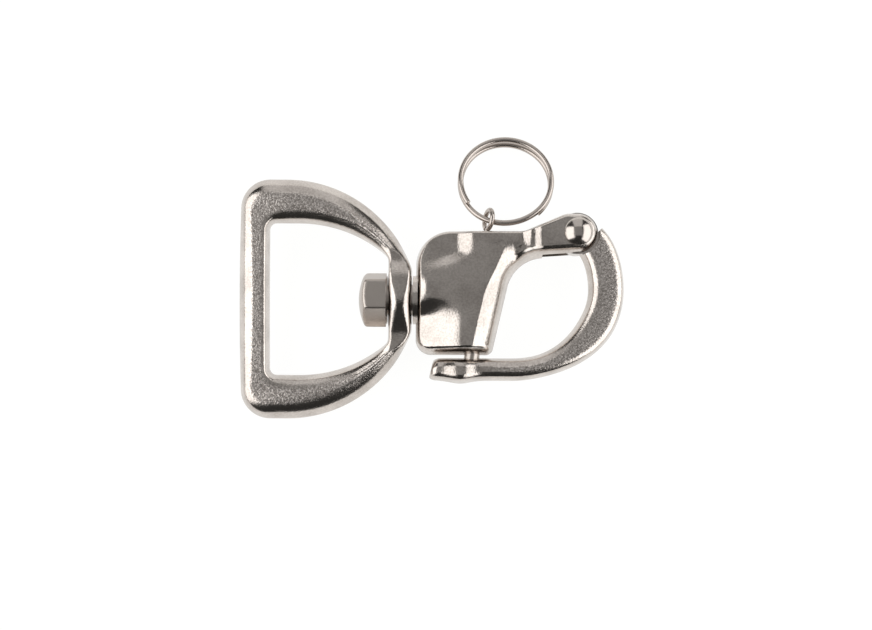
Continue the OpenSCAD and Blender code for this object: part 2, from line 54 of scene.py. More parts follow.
# ---- Studio -------------------------------------------------------------------------
# An opal acrylic light table under a dark ceiling, with a tall white softbox at each end
# of the shackle, a grey card behind it and nothing in front.
TABLE_SPAN = 3.0
TABLE_WHITE = "#F7F7F6"
TABLE_GREY = "#404040"
TABLE_ROUGHNESS = 0.6
TABLE_GLOW = 1.03
ROOM_DARK = "#30302F"
ROOM_PALE = "#FAFAFA"


def linear(colour):
    """An sRGB hex colour as four linear values: (c + 0.055) / 1.055 to the power 2.4."""
    c = np.array([int(colour[i:i + 2], 16) / 255 for i in (1, 3, 5)])
    c = np.where(c <= 0.04045, c / 12.92, ((c + 0.055) / 1.055) ** 2.4)
    return (*c.tolist(), 1.0)


def add(tree, kind, settings=None, links=None):
    """Adds a node, gives its sockets or properties their values, and links the others."""
    node = tree.nodes.new(kind)
    for key, value in (settings or {}).items():
        if isinstance(key, int) or key in node.inputs:
            node.inputs[key].default_value = value
        else:
            setattr(node, key, value)
    for key, source in (links or {}).items():
        tree.links.new(node.inputs[key], source)
    return node


def material_tree(name):
    """A new material, with its empty node tree and its output."""
    material = bpy.data.materials.new(name)
    material.use_nodes = True
    material.node_tree.nodes.clear()
    return material, material.node_tree, add(material.node_tree, "ShaderNodeOutputMaterial")


opal_acrylic, tree, output = material_tree("opal_acrylic")
shader = add(tree, "ShaderNodeBsdfPrincipled", {
    "Base Color": linear(TABLE_GREY), "Roughness": TABLE_ROUGHNESS,
    "Emission Color": linear(TABLE_WHITE), "Emission Strength": TABLE_GLOW})
tree.links.new(output.inputs["Surface"], shader.outputs["BSDF"])

half = TABLE_SPAN / 2
mesh = bpy.data.meshes.new("light_table")
mesh.from_pydata([(-half, -half, 0), (half, -half, 0), (half, half, 0), (-half, half, 0)],
                 [], [(0, 1, 2, 3)])
mesh.materials.append(opal_acrylic)
table = bpy.data.objects.new("light_table", mesh)
scene.collection.objects.link(table)


def softbox(name, place, size, glow):
    """A rectangular light at place, turned to the origin, whose face has the radiance glow:
    its power is pi times its area times that."""
    light = bpy.data.lights.new(name, "AREA")
    light.shape = "RECTANGLE"
    light.size, light.size_y = size
    light.energy = math.pi * size[0] * size[1] * glow
    lamp = bpy.data.objects.new(name, light)
    lamp.location = place
    lamp.rotation_euler = (-Vector(place)).to_track_quat("-Z", "Y").to_euler()
    scene.collection.objects.link(lamp)


# Where each one is, its two sizes, and the radiance of its face.
softbox("ceiling", (0, 0.05, 0.62), (0.55, 0.62), 0.29)
softbox("left_softbox", (-0.50, -0.03, 0.355), (0.86, 0.66), 2.1)
softbox("right_softbox", (0.50, -0.03, 0.30), (1.10, 0.56), 2.1)
softbox("back_card", (0, 0.62, 0.33), (0.60, 0.78), 0.75)

# The camera sees a pale room past the table, and the steel reflects a dark one.
world = bpy.data.worlds.new("studio")
scene.world = world
world.use_nodes = True
world.node_tree.nodes.clear()
path = add(world.node_tree, "ShaderNodeLightPath")
dark = add(world.node_tree, "ShaderNodeBackground", {"Color": linear(ROOM_DARK)})
pale = add(world.node_tree, "ShaderNodeBackground", {"Color": linear(ROOM_PALE)})
both = add(world.node_tree, "ShaderNodeMixShader", None, {
    0: path.outputs["Is Camera Ray"], 1: dark.outputs[0], 2: pale.outputs[0]})
add(world.node_tree, "ShaderNodeOutputWorld", None, {"Surface": both.outputs[0]})

scene.view_settings.view_transform = "Standard"


# ---- Camera -------------------------------------------------------------------------
# It looks almost straight down, leaning a little to the front, from arm's length.
CAMERA_DISTANCE = 0.310
CAMERA_ELEVATION = 85.5
CAMERA_ROLL = 0.38
CAMERA_TARGET = (0.0012, -0.01033, 0.0077)
CAMERA_LENS = 49.4
CAMERA_SENSOR = 36
CAMERA_NEAR = 0.01

camera = bpy.data.objects.new("camera", bpy.data.cameras.new("camera"))
elevation = math.radians(CAMERA_ELEVATION)
back = Vector((0, -math.cos(elevation), math.sin(elevation)))
camera.location = Vector(CAMERA_TARGET) + back * CAMERA_DISTANCE
camera.rotation_euler = (math.pi / 2 - elevation, 0, 0)
camera.rotation_euler.rotate_axis("Z", math.radians(CAMERA_ROLL))
camera.data.lens = CAMERA_LENS
camera.data.sensor_width = CAMERA_SENSOR
camera.data.clip_start = CAMERA_NEAR
scene.collection.objects.link(camera)
scene.camera = camera


# ---- D bail -------------------------------------------------------------------------
# The D ring that webbing is sewn to: one investment casting in 316 stainless steel.
# Its broad faces are bead blasted, then all of it is tumbled, which shines its edges.
bail_l = 44.6
bail_w = 62.4
arm_top_run = 12.2
arm_end_back = 1.0
arm_end_rise = 3.1
bail_d = 9.0
bail_corner_r = 7.8
bar_w = 7.7
bar_bow = 0.4
slot_h = 39.0
slot_corner_r = 1.7
slot_run = 7.6
slot_end_rise = 3.4
crown_l = 6.3
crown_d = 15.2
crown_face = 7.5

# The crown swells to a barrel. Its top is crown_apex above the bolt's axis, its foot is
# crown_foot to either side of the top, and it rises over crown_fall. The pairs are the
# stretches over which its solid core, and its rounder section, give way to the arms.
crown_apex = 2.0
crown_foot = 8.8
crown_fall = 5.4
crown_soft = 1.8
crown_reach = 12.0
core_y = -1.0
core_to = (2.5, 6.0)
round_to = (9.0, 15.0)

# How far the broad faces are raised, and how far the whole bail lies turned on the bolt.
bail_crowning = 0.2
bail_roll = 6.0
bolt_d = 8.0
run_fit = 0.05
side_play = 0.15

# A tool that cuts through a piece stands at least this far out of it.
past = 1.0

swivel_at = np.array([j for j in frame["joints"] if j["name"] == "swivel"][0]["pos_m"])


def place(points):
    """Points in millimetres from the middle of the crown's swivel face, in the frame."""
    return np.asarray(points) * MM + swivel_at


def ease(a, b, x):
    """Even blend from 0 to 1 as x goes from a to b: 3 t squared less 2 t cubed."""
    t = np.clip((x - a) / (b - a), 0, 1)
    return t * t * (3 - 2 * t)


def mix(a, b, t):
    """The point at fraction t from a to b."""
    return a + (b - a) * t


def soft_max(a, b, w):
    """The greater of a and b, eased within w of where they meet:
    (a + b + root((a - b)^2 + w^2)) / 2."""
    return (a + b + np.sqrt((a - b) ** 2 + w * w)) / 2


def soft_ramp(x, start, end, w):
    """Rises with x from start to end and is level before and after, eased within w."""
    return soft_max(x - start, 0, w) - soft_max(x - end, 0, w)


def share(n, end=False):
    """n even fractions from 0 to 1, as a column, with or without the last."""
    return np.linspace(0, 1, n, endpoint=end)[:, None]


def soften(rows, times, axis=0, closed=True):
    """Rows of points averaged with their neighbours, in the ratio 1 : 2 : 1, over again.
    Open rows keep their ends."""
    for _ in range(times):
        mean = (np.roll(rows, 1, axis) + 2 * rows + np.roll(rows, -1, axis)) / 4
        if not closed:
            mean[0], mean[-1] = rows[0], rows[-1]
        rows = mean
    return rows


def skin(name, rings, material, joined=False, marks=None, crease=35):
    """A solid through rings of points, ring i and place j: a quad joins places j and j + 1
    of rings i and i + 1. The last ring joins the first, or each end closes to a point
    at its middle. marks are values from 0 to 1 at each point, by name. It is turned
    outwards if the volume under its faces, the sum of a . (b x c), comes out negative."""
    n, m = rings.shape[:2]
    i, j = np.meshgrid(np.arange(n if joined else n - 1), np.arange(m), indexing="ij")
    k, l = (i + 1) % n, (j + 1) % m
    quads = np.stack([i * m + j, i * m + l, k * m + l, k * m + j], -1).reshape(-1, 4)
    points = rings.reshape(-1, 3)
    caps = np.zeros((0, 3), int)
    if not joined:
        points = np.vstack([points, rings[0].mean(0), rings[-1].mean(0)])
        a = np.arange(m)
        b = (a + 1) % m
        last = (n - 1) * m
        caps = np.vstack([np.stack([b, a, np.full(m, n * m)], -1),
                          np.stack([last + a, last + b, np.full(m, n * m + 1)], -1)])
    corners = points[np.vstack([quads[:, [0, 1, 2]], quads[:, [0, 2, 3]], caps])]
    turn = 1 if np.sum(corners[:, 0] * np.cross(corners[:, 1], corners[:, 2])) > 0 else -1
    mesh = bpy.data.meshes.new(name)
    mesh.from_pydata(points.tolist(), [], quads[:, ::turn].tolist() + caps[:, ::turn].tolist())
    for key, values in (marks or {}).items():
        layer = mesh.attributes.new(key, "FLOAT", "POINT")
        flat = np.zeros(len(points), np.float32)
        flat[:n * m] = np.broadcast_to(values, (n, m)).ravel()
        layer.data.foreach_set("value", flat)
    mesh.materials.append(material)
    mesh.shade_smooth()
    mesh.set_sharp_from_angle(angle=math.radians(crease))
    piece = bpy.data.objects.new(name, mesh)
    scene.collection.objects.link(piece)
    return piece


def carve(piece, tool, how, crease=35):
    """The tool is cut out of the piece, or joined to it, and then thrown away."""
    change = piece.modifiers.new(how, "BOOLEAN")
    change.operation = how
    change.solver = "MANIFOLD"
    change.object = tool
    bpy.context.view_layer.update()
    graph = bpy.context.evaluated_depsgraph_get()
    mesh = bpy.data.meshes.new_from_object(piece.evaluated_get(graph))
    old = piece.data
    piece.modifiers.clear()
    piece.data = mesh
    mesh.name = piece.name
    mesh.shade_smooth()
    mesh.set_sharp_from_angle(angle=math.radians(crease))
    bpy.data.meshes.remove(old)
    bpy.data.objects.remove(tool)


def turned(name, profile, foot, axis, material, steps=96, crease=35, marks=None):
    """A solid of revolution: profile points of radius and height, carried round an axis
    that stands on foot. Point = foot + height axis + radius (cos a, sin a) across it."""
    axis = np.asarray(axis, float)
    side = np.cross(axis, [0, 0, 1.0] if abs(axis[2]) < 0.9 else [1.0, 0, 0])
    side /= np.linalg.norm(side)
    front = np.cross(axis, side)
    a = np.linspace(0, 2 * np.pi, steps, endpoint=False)
    spokes = np.cos(a)[:, None] * side + np.sin(a)[:, None] * front
    r, h = np.asarray(profile, float).T
    rings = foot + h[:, None, None] * axis + r[:, None, None] * spokes
    return skin(name, place(rings), material, marks=marks, crease=crease)


def rounded_path(points, radii, steps=8):
    """A line through points whose inner corners are rounded: at each, the curve
    (1 - t)^2 a + 2 t (1 - t) corner + t^2 b, from a to b, a radius before and after it."""
    points = np.asarray(points, float)
    t = np.linspace(0, 1, steps)[:, None]
    rows = [points[:1]]
    for before, corner, after, r in zip(points[:-2], points[1:-1], points[2:], radii):
        into, out = before - corner, after - corner
        a = corner + into * min(0.5, r / np.linalg.norm(into))
        b = corner + out * min(0.5, r / np.linalg.norm(out))
        rows.append((1 - t) ** 2 * a + 2 * t * (1 - t) * corner + t ** 2 * b)
    return np.vstack(rows + [points[-1:]])


def level_arc(p, q, t):
    """Circle that is level at p and runs on to q: (p + R sin a, p - R + R cos a)."""
    dx, dy = q[0] - p[0], p[1] - q[1]
    r = (dx * dx + dy * dy) / (2 * dy)
    a = t * 2 * math.atan2(dy, dx)
    return np.hstack([p[0] + r * np.sin(a), p[1] - r + r * np.cos(a)])


def arc_end_slope(p, q):
    """Slope of that circle where it ends at q."""
    return math.tan(2 * math.atan2(p[1] - q[1], q[0] - p[0]))


def turn_in(p, k, q, t):
    """Curve from p to q that leaves towards k and arrives from it."""
    return (1 - t) ** 2 * np.array(p) + 2 * t * (1 - t) * np.array(k) + t ** 2 * np.array(q)


def corner_arc(x, y, r, t):
    """Quarter circle from (x, y - r), going up and round to (x + r, y)."""
    a = np.pi * (1 - t / 2)
    return np.hstack([x + r * (1 + np.cos(a)), y - r * (1 - np.sin(a))])


# A section's edges take up no more than this share of its width. The middle of a bevel
# has this share of its run and of its fall. Two of the section's stretches are the faces.
EDGES_AT_MOST = 0.85
BEVEL_MIDDLE = (0.45, 0.4)
FACES = (3, 10)
SECTION_PASSES = 6
BLAST_PASSES = 4


def bar_section(out, inner, half_d, outer_edge, inner_edge, crowning, steps):
    """Rings of a cast bar, one for each pair of edge points: a drafted wall, a bevel in two
    facets, a face raised by crowning 4 t (1 - t) across it, and the same down the far side,
    above and below. An edge is the run of its wall, and the run and fall of its bevel, and
    where the bar is narrow both edges shrink to leave a face. Each stretch has its own
    count of points, and the whole ring is softened. Also the blasting: 1 on the faces
    and 0 on the walls and bevels."""
    n = len(out)
    half_d = np.broadcast_to(half_d, n)
    span = np.linalg.norm(out - inner, axis=1)
    u = (out - inner) / span[:, None]
    edges = outer_edge[0] + outer_edge[1] + inner_edge[0] + inner_edge[1]
    fit = np.minimum(1, EDGES_AT_MOST * span / edges)
    middle_in, middle_down = BEVEL_MIDDLE
    upper = []
    for edge, way, (wall, bevel, fall) in ((out, -u, outer_edge), (inner, u, inner_edge)):
        side = [np.column_stack([edge, np.zeros(n)])]
        for back, lift in ((wall, half_d - fall),
                           (wall + middle_in * bevel, half_d - middle_down * fall),
                           (wall + bevel, half_d)):
            side.append(np.column_stack([edge + (fit * back)[:, None] * way, lift]))
        upper += side if edge is out else side[::-1]
    corners = np.stack(upper + [p * [1, 1, -1] for p in upper[-2:0:-1]], 1)
    following = np.roll(corners, -1, 1)
    counts = list(steps) + list(steps[::-1])
    rows = [mix(corners[:, [k]], following[:, [k]], share(c)[None])
            for k, c in enumerate(counts)]
    crowning = np.broadcast_to(crowning, n)
    for k, sign in zip(FACES, (1, -1)):
        t = share(counts[k]).ravel()
        rows[k][..., 2] += sign * np.multiply.outer(crowning, 4 * t * (1 - t))
    blast = np.concatenate([np.full(c, float(k in FACES)) for k, c in enumerate(counts)])
    rings = soften(np.concatenate(rows, 1), SECTION_PASSES, axis=1)
    return rings, soften(blast, BLAST_PASSES)


# Investment cast 316: a warm grey metal. Blasting leaves fine pits that scatter what it
# reflects, and tumbling leaves the rest bright, with slow waves from the wax pattern.
STEEL_TONE = "#C9C1BA"
STEEL_SHADE = "#B6AEA7"
# Painted shade and painted glints: a dark tone for the bottoms of the pits and a near-white tone
# for the grain between them.
PIT_PAINTED_SHADE = "#968E88"
SPECK_PAINTED_GLINT = "#FFF7F1"
GRIT = 0.5 * MM
PIT_DEPTH = 0.09 * MM
GRAIN = 0.35 * MM
GRAIN_DEPTH = 0.03 * MM
WAVE = 6 * MM
WAVE_DEPTH = 0.04 * MM
BLASTED_ROUGHNESS = 0.24
TUMBLED_ROUGHNESS = 0.19
# The share of the colour that is this painted pit shade and painted glint, on the blasted faces and
# on the tumbled parts.
BLASTED_PAINTED_SPECKLE = 0.5
TUMBLED_PAINTED_SPECKLE = 0.12


def two_tones(tree, factor, low, high):
    """A colour that blends from one tone to another as the factor goes from the first
    one's value to the second one's. Each is a value and a tone."""
    node = add(tree, "ShaderNodeValToRGB", None, {"Fac": factor})
    for stop, (position, tone) in zip(node.color_ramp.elements, (low, high)):
        stop.position = position
        stop.color = linear(tone)
    return node.outputs["Color"]


cast_steel, tree, output = material_tree("investment_cast_316_blasted_and_tumbled")
where = add(tree, "ShaderNodeTexCoord").outputs["Object"]
blasted = add(tree, "ShaderNodeAttribute", {"attribute_name": "blasted"}).outputs["Fac"]
pits = add(tree, "ShaderNodeTexNoise", {"Scale": 1 / GRIT, "Detail": 3.0, "Roughness": 0.6},
           {"Vector": where}).outputs["Fac"]
waves = add(tree, "ShaderNodeTexNoise", {"Scale": 1 / WAVE, "Detail": 1.0},
            {"Vector": where}).outputs["Fac"]
tone = two_tones(tree, waves, (0.35, STEEL_SHADE), (0.62, STEEL_TONE))
# Painted shade in the pits and painted glints on the peaks, from the same noise that raises the
# pits' bumps.
painted_pit_shade_and_glints = two_tones(tree, pits, (0.40, PIT_PAINTED_SHADE), (0.60, SPECK_PAINTED_GLINT))
painted_speckle_share = add(tree, "ShaderNodeMath", {
    "operation": "MULTIPLY_ADD", 1: BLASTED_PAINTED_SPECKLE, 2: TUMBLED_PAINTED_SPECKLE}, {0: blasted})
colour = add(tree, "ShaderNodeMix", {"data_type": "RGBA"}, {
    "Factor": painted_speckle_share.outputs[0], 6: tone, 7: painted_pit_shade_and_glints})
rough = add(tree, "ShaderNodeMapRange", {
    "To Min": TUMBLED_ROUGHNESS, "To Max": BLASTED_ROUGHNESS}, {"Value": blasted})
pitted = add(tree, "ShaderNodeMath", {"operation": "MULTIPLY"}, {0: pits, 1: blasted})
grain = add(tree, "ShaderNodeTexNoise", {"Scale": 1 / GRAIN, "Detail": 1.0},
            {"Vector": where}).outputs["Fac"]
low = add(tree, "ShaderNodeBump", {"Strength": 1.0, "Distance": WAVE_DEPTH},
          {"Height": waves})
fine = add(tree, "ShaderNodeBump", {"Strength": 1.0, "Distance": GRAIN_DEPTH},
           {"Height": grain, "Normal": low.outputs[0]})
high = add(tree, "ShaderNodeBump", {"Strength": 1.0, "Distance": PIT_DEPTH},
           {"Height": pitted.outputs[0], "Normal": fine.outputs[0]})
shader = add(tree, "ShaderNodeBsdfPrincipled", {"Metallic": 1.0}, {
    "Base Color": colour.outputs[2], "Roughness": rough.outputs["Result"],
    "Normal": high.outputs[0]})
tree.links.new(output.inputs["Surface"], shader.outputs["BSDF"])

bar_x, half_w, half_slot = -bail_l, bail_w / 2, slot_h / 2
slot_x, crown_x = bar_x + bar_w, -crown_l
arm_top_x, arm_end = bar_x + arm_top_run, (-arm_end_back, crown_face + arm_end_rise)
slot_top_x, slot_end = slot_x + slot_run, (crown_x, crown_face + slot_end_rise)
bar_to = (bar_x + 4, bar_x + 13)
crown_to = (arm_end[1] - 0.5, arm_end[1] + 5)

# Points along half the bail: bar, corner, side, arm, shoulder and the crown's face.
bar_n, corner_n, side_n, arm_n, shoulder_n, face_n = 40, 30, 10, 80, 26, 20

y = share(bar_n) * (half_w - bail_corner_r)
slope = arc_end_slope((arm_top_x, half_w), arm_end)
d_outer = np.vstack([
    np.hstack([bar_x - bar_bow * (1 - (y / (half_w - bail_corner_r)) ** 2), y]),
    corner_arc(bar_x, half_w, bail_corner_r, share(corner_n)),
    mix(np.array([bar_x + bail_corner_r, half_w]), np.array([arm_top_x, half_w]),
        share(side_n)),
    level_arc((arm_top_x, half_w), arm_end, share(arm_n)),
    turn_in(arm_end, (0, arm_end[1] + arm_end[0] * slope), (0, crown_face),
            share(shoulder_n)),
    mix(np.array([0, crown_face]), np.array([0, 0]), share(face_n, end=True))])
d_inner = np.vstack([
    np.hstack([np.full((bar_n, 1), slot_x), share(bar_n) * (half_slot - slot_corner_r)]),
    corner_arc(slot_x, half_slot, slot_corner_r, share(corner_n)),
    mix(np.array([slot_x + slot_corner_r, half_slot]), np.array([slot_top_x, half_slot]),
        share(side_n)),
    level_arc((slot_top_x, half_slot), slot_end, share(arm_n)),
    mix(np.array(slot_end), np.array([crown_x, crown_face]), share(shoulder_n)),
    mix(np.array([crown_x, crown_face]), np.array([crown_x, 0]), share(face_n, end=True))])
d_outer, d_inner = [np.vstack([e, e[-2:0:-1] * [1, -1]]) for e in (d_outer, d_inner)]

# How far each section belongs to the bar, to the crown, to the core of the crown over the
# bolt, and to the barrel that the crown swells to, whose top is at crown_apex.
along, above = ((d_outer + d_inner) / 2).T
across = np.abs(above)
near_crown = along > crown_x - crown_reach
bar_share = 1 - ease(*bar_to, along)
crown_share = np.where(near_crown, 1 - ease(*crown_to, across), 0)
core_share = crown_share * (1 - ease(*core_to, np.abs(above - core_y)))
barrel = soft_ramp(crown_foot - np.abs(above - crown_apex), 0, crown_fall, crown_soft)
barrel = np.where(near_crown, barrel / crown_fall, 0)
round_share = np.where(near_crown, 1 - ease(*round_to, across), 0)[:, None, None]

# Run of the wall, and run and fall of the bevel, of each edge.
ARM_OUTER = (1.8, 2.4, 1.4)
ARM_INNER = (1.0, 1.9, 1.1)
BAR_OUTER = (1.75, 2.3, 1.05)
BAR_INNER = (0.6, 0.7, 0.35)
CROWN_EDGE = (0.3, 0.8, 0.35)
CORE_EDGE = (0.3, 1.9, 1.0)
BAIL_STEPS = (10, 6, 6, 18, 6, 6, 10)

# The crown is softened round its section and along the bail, and it isn't blasted: the
# blasting fades out between these two shares of the crown.
ROUND_PASSES = 24
LENGTH_PASSES = 40
BLAST_FADE = (0.1, 0.8)


def edge_sizes(arm, bar):
    """The sizes of an edge along the bail, blended from those of the arm, the bar, the
    crown and its core by the share that each has."""
    return [mix(mix(mix(a, b, bar_share), c, crown_share), d, core_share)
            for a, b, c, d in zip(arm, bar, CROWN_EDGE, CORE_EDGE)]


rings, blast = bar_section(
    d_outer, d_inner, mix(bail_d, crown_d, barrel) / 2, edge_sizes(ARM_OUTER, BAR_OUTER),
    edge_sizes(ARM_INNER, BAR_INNER), bail_crowning * (1 - crown_share) * (1 - bar_share),
    BAIL_STEPS)
rounded = soften(soften(rings, ROUND_PASSES, axis=1), LENGTH_PASSES)
rings = mix(rings, rounded, round_share)
tilt = math.radians(bail_roll)
roll = np.array([[1, 0, 0], [0, math.cos(tilt), math.sin(tilt)],
                 [0, -math.sin(tilt), math.cos(tilt)]])
blast_left = 1 - ease(*BLAST_FADE, crown_share)[:, None]
bail = skin("bail", place(rings @ roll), cast_steel, joined=True,
            marks={"blasted": blast * blast_left})
bore = turned("bore", [(bolt_d / 2 + run_fit, -crown_l - past), (bolt_d / 2 + run_fit, past)],
              (0, 0, 0), (1, 0, 0), cast_steel)
carve(bail, bore, "DIFFERENCE")
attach(bail, "bail")
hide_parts("d_bail")


# ---- Swivel bolt --------------------------------------------------------------------
# The bolt the bail turns on: turned from hexagon bar, with a domed end and a washer face
# under the head, and screwed into the body from inside the crown.
head_af = 12.6
head_h = 5.3
dome_h = 1.8
washer_face_d = 12.4
washer_face_h = 0.3
bolt_hold = 10.5
head_turn = 10.0

# The head's corners are a little soft. Its radius at an angle is half the width across
# flats, over the 60th root of the sum of cos(angle to a flat) ^ 60 over the six flats.
HEX_SOFTNESS = 60

# Points round the head, rings up its dome and down its sides, and passes of softening.
HEAD_STEPS = 192
TOP_ROWS = 24
SIDE_ROWS = 18
HEAD_PASSES = 4

# Turned 316: bright, with fine scuffs all over from the tool and from handling.
TURNED_TONE = "#B9B1AA"
TURNED_SCUFF = 0.9 * MM
TURNED_SCUFF_DEPTH = 0.02 * MM
TURNED_ROUGHNESS = (0.24, 0.38)


def scuffed_metal(name, tone, scuff, detail, roughness, depth=None):
    """A bare metal of one tone, whose roughness wanders between two values with scuffs of
    one size. They are as deep as depth, or flat."""
    material, tree, output = material_tree(name)
    where = add(tree, "ShaderNodeTexCoord").outputs["Object"]
    scuffs = add(tree, "ShaderNodeTexNoise", {"Scale": 1 / scuff, "Detail": detail},
                 {"Vector": where}).outputs["Fac"]
    rough = add(tree, "ShaderNodeMapRange", {
        "To Min": roughness[0], "To Max": roughness[1]}, {"Value": scuffs})
    shader = add(tree, "ShaderNodeBsdfPrincipled", {
        "Base Color": linear(tone), "Metallic": 1.0}, {"Roughness": rough.outputs["Result"]})
    if depth:
        bump = add(tree, "ShaderNodeBump", {"Strength": 1.0, "Distance": depth},
                   {"Height": scuffs})
        tree.links.new(shader.inputs["Normal"], bump.outputs[0])
    tree.links.new(output.inputs["Surface"], shader.outputs["BSDF"])
    return material


turned_steel = scuffed_metal("turned_316_stainless", TURNED_TONE, TURNED_SCUFF, 4.0,
                             TURNED_ROUGHNESS, TURNED_SCUFF_DEPTH)

head_x = crown_x - side_play
theta = np.linspace(0, 2 * np.pi, HEAD_STEPS, endpoint=False)
flats = np.radians(90 - head_turn + 60 * np.arange(6))
reach = np.clip(np.cos(theta[:, None] - flats), 0, None) ** HEX_SOFTNESS
hexagon = head_af / 2 / reach.sum(1) ** (1 / HEX_SOFTNESS)
corner_r = head_af / 2 / math.cos(math.pi / 6)
dome_r = (corner_r ** 2 + dome_h ** 2) / (2 * dome_h)
hub_h = head_h + dome_h - dome_r


def head_ring(radius, height):
    """A ring across the bolt's axis: (-height, radius cos a, radius sin a)."""
    height = np.broadcast_to(height, theta.shape)
    return np.column_stack([head_x - height, radius * np.cos(theta), radius * np.sin(theta)])


def dome_height(radius):
    """Height of the head's domed end at a radius: hub + root(dome_r^2 - radius^2)."""
    return washer_face_h + hub_h + np.sqrt(dome_r ** 2 - radius ** 2)


rows = [head_ring(s * hexagon, dome_height(s * hexagon))
        for s in np.linspace(0.02, 1, TOP_ROWS)]
rows += [head_ring(hexagon, mix(dome_height(hexagon), washer_face_h, s))
         for s in np.linspace(0.06, 1, SIDE_ROWS)]
rows = list(soften(np.array(rows), HEAD_PASSES, closed=False))
rows += [head_ring(r, h) for r, h in (
    (washer_face_d / 2, washer_face_h), (washer_face_d / 2, 0), (bolt_d / 2, 0),
    (bolt_d / 2, head_x - bolt_hold))]
bolt = skin("bolt", place(np.array(rows)), turned_steel)
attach(bolt, "shackle")
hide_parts("swivel_bolt")


# ---- Body ---------------------------------------------------------------------------
# One casting holds the neck, the housing that the plunger slides in, and the two ears of
# the hinge. It is tumbled all over and not blasted, so it is brighter than the bail.
swivel_gap = 0.95
neck_d = 12.6
neck_root = 0.5
housing_up = 18.0
housing_down = 14.2
housing_foot = 19.6
shoulder_r = 9.0
heel_r = 4.0
toe_r = 2.0
step_x = 28.4
step_r = 6.0
armpit_x = 26.3
armpit_r = 10.0
hinge_x = 42.6
hinge_y = 17.4
ear_r = 5.6
ear_d = 11.0
ear_top_run = 2.8
under_rise = math.radians(4)
fork_w = 4.8
fork_root = 3.4
rivet_d = 4.0
plunger_d = 4.0
stem_d = 2.4
plunger_x = 17.2
plunger_lean = math.radians(6.7)
cap_wall = 3.2

# How far the tapped hole runs past the bolt, and how far the tools for the fork and for
# the holes in the ears reach from the hinge's middle.
tap_end = 0.5
fork_reach = 15.0
ear_reach = 11.0

# The relief of the faces. Each name that ends in h is a half depth, and each pair is the
# stretch over which a change is made, or the values before and after it.
ridge_h = 7.2
heel_h = 3.0
neck_h = 7.0
shoulder_h = 5.5
ridge_x = (12.6, 15.6)
ridge_turn = (-4, 12)
fall_run = (12.6, 4.2)
fall_turn = (6, 12.5)
fall_soft = (0.08, 0.35)
soft_turn = (3, 10)
top_soft = 0.17
top_turn = (11, 15.5)
neck_turn = (-5.5, 0.8)
shoulder_turn = (2, 13)
nose_x = 3.6
nose_y = 2.6
nose_w = 3.0
nose_slope = 0.45
nose_soft = 0.8
chamfer_slope = 0.41
chamfer_run = (-5.7, -1.9)
chamfer_soft = 0.2
chamfer_bend = 2.2
bend_turn = (0, 13)
chamfer_end_y = (9.5, 18)
chamfer_end_x = (26, 31)
step_facets = ((28.1, 30.4, 0.47), (31.2, 33.2, 0.34))
step_soft = 0.25

# Faces that meet at more than this angle, in degrees, keep a sharp line between them.
BODY_CREASE = 50

lean = np.array([math.sin(plunger_lean), math.cos(plunger_lean), 0])
foot = np.array([plunger_x - housing_down * math.tan(plunger_lean), -housing_down, 0])
housing_top_s = (housing_up + housing_down) / math.cos(plunger_lean)
cap_s = housing_top_s - cap_wall


def under_ear(x):
    """Height of the lower edge of the ears: a line that rises towards the hinge."""
    return hinge_y - ear_r / math.cos(under_rise) + (x - hinge_x) * math.tan(under_rise)


# Each corner has its place and radius, and the share of the full edge that the side after
# it has.
body_corners = np.array([
    (swivel_gap, housing_up, shoulder_r, 0.42),
    (step_x, housing_up, step_r, 0.45),
    (hinge_x - ear_top_run, hinge_y + ear_r, step_r, 0.6),
    (hinge_x + ear_r, hinge_y + ear_r, ear_r, 0.65),
    (hinge_x + ear_r, under_ear(hinge_x + ear_r), ear_r, 0.85),
    (armpit_x, under_ear(armpit_x), armpit_r, 0.9),
    (swivel_gap + housing_foot, -housing_down, toe_r, 0.7),
    (swivel_gap, -housing_down, heel_r, 0.42)])


# Points round each corner and along each straight run of an outline, and the least
# radius that a corner keeps when the outline is moved in.
ARC_STEPS = 24
RUN_STEPS = 40
SMALLEST_R = 0.5


def outline(corners, inset):
    """Clockwise outline through corners (x, y, radius), moved in by inset. Each corner is
    the arc hub - r n cos w + r a sin w, where a is the way in and n points outwards, and
    a straight run leads to the next."""
    p = corners[:, :2]
    a = p - np.roll(p, 1, 0)
    a /= np.linalg.norm(a, axis=1)[:, None]
    b = np.roll(a, -1, 0)
    na, nb = [np.stack([v[:, 1], -v[:, 0]], 1) for v in (a, b)]
    bend = a[:, 0] * b[:, 1] - a[:, 1] * b[:, 0]
    r = np.where(bend < 0, np.maximum(corners[:, 2] - inset, SMALLEST_R), corners[:, 2] + inset)
    angle = np.arctan2(np.abs(bend), np.sum(a * b, 1))
    middle = p + inset * (na + nb) / (1 + np.sum(na * nb, 1))[:, None]
    start = middle - a * (r * np.tan(angle / 2))[:, None]
    n = np.where(bend < 0, 1, -1)[:, None] * na
    w = np.linspace(0, 1, ARC_STEPS)[None, :, None] * angle[:, None, None]
    rn, ra = [(r[:, None] * v)[:, None] for v in (n, a)]
    arcs = start[:, None] + rn - rn * np.cos(w) + ra * np.sin(w)
    following = np.roll(arcs[:, :1], -1, 0)
    steps = np.linspace(0, 1, RUN_STEPS + 2)[None, 1:-1, None]
    runs = mix(arcs[:, -1:], following, steps)
    return np.concatenate([arcs, runs], 1).reshape(-1, 2)


def bell(x, w):
    """A rounded swelling of half width w: e to the power of minus (x / w) squared."""
    return np.exp(-(x / w) ** 2)


armpit_at, toe_at = body_corners[5, :2], body_corners[6, :2]
flank = (armpit_at - toe_at) / np.linalg.norm(armpit_at - toe_at)


